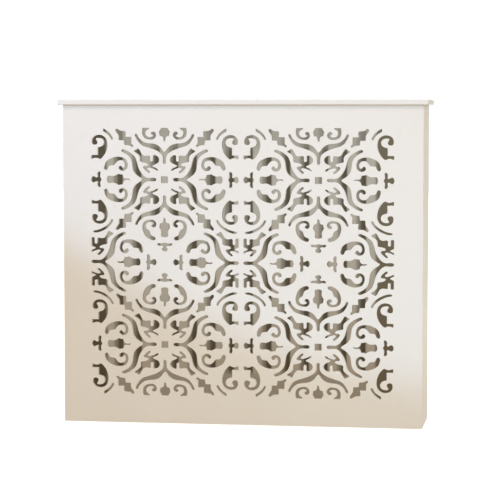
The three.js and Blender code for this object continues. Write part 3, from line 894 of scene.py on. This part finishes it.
def addFrontSheet():
    halfWidth = cabinet["width"] / 2
    height = cabinet["height"]
    outer = [(-halfWidth, 0), (halfWidth, 0), (halfWidth, height), (-halfWidth, height)]
    holes = fretworkRings()
    mesh = sheetMesh(outer, holes, cabinet["front"], fretwork["ease"], "fretSheet")
    print("fretwork holes", len(holes), "points", sum(len(ring) for ring in holes),
          "faces", len(mesh.polygons), "open edges", openEdges(mesh))
    middleY = (frontY + backY) / 2 * mm
    mesh.transform(Matrix.Translation((0, middleY, 0)) @ Matrix.Rotation(math.radians(90), 4, "X"))
    mesh = subtract(mesh, drillFor("front_panel"), "fretSheet")
    print("after drilling: faces", len(mesh.polygons), "open edges", openEdges(mesh))
    softShade(mesh, fretwork["softAngle"])
    linkPiece(mesh, "front_panel_sheet", [paintFace, paintCut], ["front_panel"])
    foot, head = (limit * mm for limit in fretwork["cutHeights"])
    for polygon in mesh.polygons:
        spot = polygon.center
        inside = abs(spot.x) < fretwork["cutReach"] * mm and foot < spot.z < head
        if inside and abs(polygon.normal.y) < fretwork["cutNormal"]:
            polygon.material_index = 1


addFrontSheet()
print("front sheet made")


# wall brackets, screws, dowels, in millimetres

bracketShape = {
    "bend": 3.0,
    "bendSteps": 8,
    "corner": 4.0,
    "cornerSteps": 6,
    "samePlace": 1e-6,
    "softAngle": 28,
}


# section seen from above, starting with the outside of the fold
def bracketSection(leg, thick):
    bend, steps = bracketShape["bend"], bracketShape["bendSteps"]

    def arc(radius, start, sweep):
        angles = [math.radians(start + sweep * k / steps) for k in range(steps + 1)]
        return [(bend + radius * math.cos(angle), bend + radius * math.sin(angle)) for angle in angles]

    outside = arc(bend, 180, 90) + [(leg, 0), (leg, thick)]
    return outside + arc(bend - thick, 270, -90) + [(thick, leg), (0, leg)]


# the level edges across the free ends of both legs
def bracketEnds(shape, leg):
    def same(value, other):
        return abs(value - other) < bracketShape["samePlace"]

    ends = []
    for edge in shape.edges:
        first, second = (vert.co for vert in edge.verts)
        wallEnd = all(same(abs(spot.x), innerX - leg) for spot in (first, second))
        sideEnd = all(same(spot.y, wallY - leg) for spot in (first, second))
        if same(first.z, second.z) and (wallEnd or sideEnd):
            ends.append(edge)
    return ends


# the holes of its two screws and one plain hole for the wall
def bracketDrill(side, word, middleZ):
    thick, radius, out = fittings["bracketThick"], fittings["bracketHole"], fittings["drillOut"]
    place = (side * (innerX - fittings["bracketWallHole"]), wallY - thick, middleZ)
    drill = bmesh.new()
    drill.from_mesh(drillFor(f"wall_bracket_{word}"))
    resize(drill, 1 / mm)
    turnedBody(drill, [(0, -out), (radius, -out), (radius, thick + out), (0, thick + out)],
               place, (0, 1, 0), fittings["holeSteps"])
    bmesh.ops.recalc_face_normals(drill, faces=drill.faces)
    resize(drill, mm)
    return meshFrom(drill, "bracketDrill")


def addBracket(side, word):
    leg, wide, thick = fittings["bracketLeg"], fittings["bracketWide"], fittings["bracketThick"]
    low = battenTop - fittings["bracketDrop"]
    shape = bmesh.new()
    ring = [shape.verts.new((side * (innerX - x), wallY - y, low)) for x, y in bracketSection(leg, thick)]
    lifted = bmesh.ops.extrude_face_region(shape, geom=[shape.faces.new(ring)])["geom"]
    upper = [part for part in lifted if isinstance(part, bmesh.types.BMVert)]
    bmesh.ops.translate(shape, vec=(0, 0, wide), verts=upper)
    bmesh.ops.recalc_face_normals(shape, faces=shape.faces)
    bmesh.ops.bevel(shape, geom=bracketEnds(shape, leg), offset=bracketShape["corner"],
                    segments=bracketShape["cornerSteps"], profile=0.5, affect="EDGES")
    bmesh.ops.recalc_face_normals(shape, faces=shape.faces)
    resize(shape, mm)
    mesh = meshFrom(shape, f"wallBracket{word}")
    mesh = subtract(mesh, bracketDrill(side, word, low + wide / 2), f"wallBracket{word}")
    softShade(mesh, bracketShape["softAngle"])
    linkPiece(mesh, f"wall_bracket_{word}_steel", [zinc], [f"wall_bracket_{word}"])


for side, word in sides:
    addBracket(side, word)

screwShape = {
    "rim": 0.15,
    "neck": 0.6,
    "threadStart": 1.2,
    "threadEnd": 0.5,
    "threadPitch": 1.8,
    "threadRise": 0.28,
    "threadCrest": 0.35,
    "threadFoot": 0.8,
    "tip": 3.0,
    "recessWide": 0.62,
    "recessLong": 2.2,
    "recessDeep": 1.5,
    "recessOut": 0.4,
    "taperLong": 0.35,   # what is left of the recess's length at its bottom
    "taperWide": 0.7,
    "steps": 24,
    "softAngle": 32,
    "twist": 0.7,        # no two recesses stop at the same angle
}


# crossed recess: two blocks that get smaller downwards
def recessMesh(name):
    cross = bmesh.new()
    for across in (0, 1):
        for vert in bmesh.ops.create_cube(cross, size=1)["verts"]:
            outside = vert.co.z < 0
            x = vert.co.x * 2 * screwShape["recessLong"] * (1.0 if outside else screwShape["taperLong"])
            y = vert.co.y * 2 * screwShape["recessWide"] * (1.0 if outside else screwShape["taperWide"])
            z = -screwShape["recessOut"] if outside else screwShape["recessDeep"]
            vert.co = Vector((x, y, z) if across == 0 else (-y, x, z)) * mm
    return meshFrom(cross, name)


# countersunk screw pointing up +Z from its head's flat top
def screwMesh(length, name):
    shank, head, headDeep = fittings["shank"], fittings["head"], fittings["headDeep"]
    core = shank - screwShape["threadRise"]
    tipFoot = length - screwShape["tip"]
    profile = [(0, 0), (head - screwShape["rim"], 0), (head, screwShape["rim"]), (shank, headDeep),
               (core, headDeep + screwShape["neck"])]
    along = headDeep + screwShape["threadStart"]
    while along < tipFoot - screwShape["threadEnd"]:
        profile += [(core, along), (shank, along + screwShape["threadCrest"]),
                    (core, along + screwShape["threadFoot"])]
        along += screwShape["threadPitch"]
    profile += [(core, tipFoot), (0, length)]
    shape = bmesh.new()
    turnedBody(shape, [(r * mm, a * mm) for r, a in profile], (0, 0, 0), (0, 0, 1), screwShape["steps"])
    bmesh.ops.recalc_face_normals(shape, faces=shape.faces)
    mesh = subtract(meshFrom(shape, name), recessMesh(name + "Recess"), name)
    softShade(mesh, screwShape["softAngle"])
    return mesh


def addScrews():
    meshes = {"screw": screwMesh(fittings["screwLength"], "longScrew"),
              "shortScrew": screwMesh(fittings["shortScrew"], "shortScrew")}
    for number, (name, kind, place, direction, _) in enumerate(allFittings):
        if kind == "dowel":
            continue
        mesh = meshes[kind].copy()
        twist = Matrix.Rotation(screwShape["twist"] * number, 4, "Z")
        mesh.transform(Matrix.Translation(Vector(place) * mm) @ turnTo(direction) @ twist)
        linkPiece(mesh, name + "_turned", [zinc], [name])


addScrews()

# the dowels keep their solids and get the beech finish
for piece in list(bpy.context.scene.objects):
    if piece.type == "MESH" and "_dowel_" in piece.name:
        for holder in piece.material_slots:
            holder.material = beech
print("brackets, screws and dowels made")


# stage: floor, glowing backdrop of painted shade and light, plain surround and soft light, in metres

# what the camera sees straight, in a gloss or through something clear
def cameraRays(tree):
    path = tree.nodes.new("ShaderNodeLightPath").outputs
    direct = calc(tree, "MAXIMUM", path["Is Camera Ray"], path["Is Glossy Ray"])
    return calc(tree, "MAXIMUM", direct, path["Is Transmission Ray"])


floorLook = {
    "size": 14,
    "drop": 0.0005,
    "colour": (0.70, 0.63, 0.52),
    "roughness": 0.9,
    "sheen": 0.1,
    "lift": (0.7, 2.2, 0.74, 1.0),    # white grows from 0.74 near the cabinet to 1 further out
}


def addFloor(look):
    shape = bmesh.new()
    bmesh.ops.create_grid(shape, x_segments=1, y_segments=1, size=look["size"])
    floor = newObject("floor", meshFrom(shape, "floor"))
    floor.location = (0, 0, -look["drop"])
    material, tree, shader = newMaterial("pale floor")
    setSurface(tree, shader, look["colour"], look["roughness"])
    shader.inputs["Specular IOR Level"].default_value = look["sheen"]
    shader.inputs["Emission Color"].default_value = (1, 1, 1, 1)
    far = tree.nodes.new("ShaderNodeVectorMath")
    far.operation = "LENGTH"
    tree.links.new(objectCoords(tree), far.inputs[0])
    lift = span(tree, far.outputs["Value"], *look["lift"])
    tree.links.new(times(tree, cameraRays(tree), lift), shader.inputs["Emission Strength"])
    floor.data.materials.append(material)


backdropLook = {
    "place": 0.1012,
    "halfWidth": 0.449,
    "height": 0.794,
    # tones of the painted light and painted shade in the bands
    "light": (0.388, 0.364, 0.312),
    "shadeTone": (0.086, 0.073, 0.050),
    "pitch": 0.04855,
    "start": -0.1947,
    "shadeBands": 100,
    # one band of painted light and shade from left to right: place in the band and share of the light tone
    "profile": ((0.0, 0.24), (0.05, 0.84), (0.10, 1.0), (0.43, 1.0), (0.49, 0.86), (0.56, 0.56),
                (0.63, 0.43), (0.70, 0.34), (0.77, 0.06), (0.88, 0.0), (0.975, 0.0), (1.0, 0.24)),
    # plain stretches of painted shade outside the bands: how they set in with height or width, and their
    # tone
    "footPlain": (0.098, 0.112, 0, 1),
    "footTone": 0.83,
    "headPlain": (0.675, 0.69, 1, 0.45),
    "headTone": 0.76,
    "ends": (-0.383, 0.319),
    "endSoft": 0.004,
    "endChange": (-0.1, 0.1, 0, 1),
    "rightEndTone": 1.7,
    # painted shade: darker and warmer towards the bottom
    "lowShade": (0.71, 0.60, 0.48),
    "lowShadeFrom": (0.08, 0.55, 1, 0),
    # emission: the sheet glows though it is no lamp, painted light
    "glow": 1.08,
    "matt": 0.93,        # share of black in what the lamps see
    "roughness": 0.85,
}


# backdrop close behind: a glowing sheet with upright bands of painted light and painted shade, put where
# there is only shade inside the cabinet. It only shows from the front, through the fretwork
def addBackdrop(look):
    shape = bmesh.new()
    corners = [(side * look["halfWidth"], look["place"], z) for side, z in
               ((-1, 0), (1, 0), (1, look["height"]), (-1, look["height"]))]
    shape.faces.new([shape.verts.new(corner) for corner in corners])
    wall = newObject("backdrop", meshFrom(shape, "backdrop"))
    material, tree, shader = newMaterial("painted shade backdrop")
    across, _, height = axes(tree, objectCoords(tree))
    shadeBands, start = look["shadeBands"], look["start"]
    along = span(tree, across, start, start + look["pitch"] * shadeBands, 0, shadeBands)
    along.node.clamp = False
    light, shadeTone = Vector(look["light"]), Vector(look["shadeTone"])
    # bands of painted light and painted shade across the width
    tone = ramp(tree, calc(tree, "FRACT", along), [
        (place, tuple(shadeTone.lerp(light, share))) for place, share in look["profile"]])
    left, right = look["ends"]
    soft = look["endSoft"]
    inside = times(tree, span(tree, across, left - soft, left + soft, 0, 1),
                   span(tree, across, right - soft, right + soft, 1, 0))
    ends = mixColours(tree, span(tree, across, *look["endChange"]),
                      tuple(shadeTone), tuple(shadeTone * look["rightEndTone"]))
    tone = mixColours(tree, span(tree, height, *look["footPlain"]), tuple(light * look["footTone"]), tone)
    tone = mixColours(tree, span(tree, height, *look["headPlain"]), tuple(light * look["headTone"]), tone)
    tone = mixColours(tree, inside, ends, tone)
    # painted shade, darker and warmer towards the bottom
    tone = mixColours(tree, span(tree, height, *look["lowShadeFrom"]), tone, look["lowShade"], "MULTIPLY")
    # the painted tones glow as emission: painted light
    tree.links.new(tone, shader.inputs["Emission Color"])
    shader.inputs["Emission Strength"].default_value = look["glow"]
    setSurface(tree, shader, mixColours(tree, look["matt"], tone, (0.0, 0.0, 0.0)), look["roughness"])
    shader.inputs["Specular IOR Level"].default_value = 0
    path = tree.nodes.new("ShaderNodeLightPath").outputs
    geometry = tree.nodes.new("ShaderNodeNewGeometry").outputs
    seen = calc(tree, "SUBTRACT", path["Is Camera Ray"], geometry["Backfacing"])
    seen.node.use_clamp = True
    clear = tree.nodes.new("ShaderNodeBsdfTransparent")
    pickShader(tree, seen, clear.outputs["BSDF"], shader.outputs["BSDF"], "Material Output")
    wall.data.materials.append(material)


surround = {"sky": (1.0, 0.982, 0.945), "strength": 0.40}


def addWorld(look):
    world = bpy.data.worlds.new("studio")
    world.use_nodes = True
    bpy.context.scene.world = world
    tree = world.node_tree
    sky = tree.nodes["Background"]
    sky.inputs["Color"].default_value = (*look["sky"], 1)
    sky.inputs["Strength"].default_value = look["strength"]
    white = addNode(tree, "ShaderNodeBackground", Color=(1, 1, 1, 1), Strength=1)
    pickShader(tree, cameraRays(tree), sky.outputs[0], white.outputs[0], "World Output")


lamps = [
    {"name": "window", "kind": "SPOT", "place": (-1.3, -4.6, 2.1), "aim": (0.506, -0.09, 2.2),
     "soft": 0.05, "cone": 48.5, "blend": 0.10, "colour": (0.395, 0.638, 1.0), "power": 350},
    {"name": "frontFill", "kind": "AREA", "place": (0.3, -3.0, 1.3), "aim": (0.0, -0.1, 0.4),
     "size": (2.4, 1.6), "colour": (1.0, 0.906, 0.476), "power": 11.3},
    {"name": "highFill", "kind": "AREA", "place": (-0.3, -2.3, 3.1), "aim": (0.0, -0.1, 0.5),
     "size": (1.6, 1.2), "colour": (1.0, 0.858, 0.816), "power": 45.6},
    {"name": "lowFill", "kind": "AREA", "place": (0.75, -1.9, 0.4), "aim": (0.36, -0.1, 0.16),
     "size": (0.5, 0.4), "spread": 50, "colour": (0.675, 0.893, 1.0), "power": 0.29},
    {"name": "rightFill", "kind": "AREA", "place": (2.2, -0.1, 1.9), "aim": (0.45, 0.0, 0.7),
     "size": (1.2, 1.2), "colour": (1.0, 0.80, 0.42), "power": 8.6},
    {"name": "leftFill", "kind": "AREA", "place": (-3.3, 0.4, 1.6), "aim": (-0.4, 0.0, 0.4),
     "size": (1.6, 1.6), "colour": (1.0, 0.98, 0.95), "power": 26},
    {"name": "backFill", "kind": "AREA", "place": (0.9, 4.0, 2.2), "aim": (0.0, 0.1, 0.4),
     "size": (2.4, 1.8), "colour": (1.0, 0.985, 0.96), "power": 50},
]


def addLamp(lamp):
    data = bpy.data.lights.new(lamp["name"], lamp["kind"])
    if lamp["kind"] == "AREA":
        data.shape = "RECTANGLE"
        data.size, data.size_y = lamp["size"]
        data.spread = math.radians(lamp.get("spread", 180))
    else:
        data.shadow_soft_size = lamp["soft"]
        data.spot_size = math.radians(lamp["cone"])
        data.spot_blend = lamp["blend"]
    data.color = lamp["colour"]
    data.energy = lamp["power"]
    light = newObject(lamp["name"], data)
    light.location = lamp["place"]
    aim = Vector(lamp["aim"]) - Vector(lamp["place"])
    light.rotation_euler = aim.to_track_quat("-Z", "Y").to_euler()


addFloor(floorLook)
addBackdrop(backdropLook)
addWorld(surround)
for lamp in lamps:
    addLamp(lamp)
bpy.context.scene.view_settings.view_transform = "Standard"
print("stage and light made")
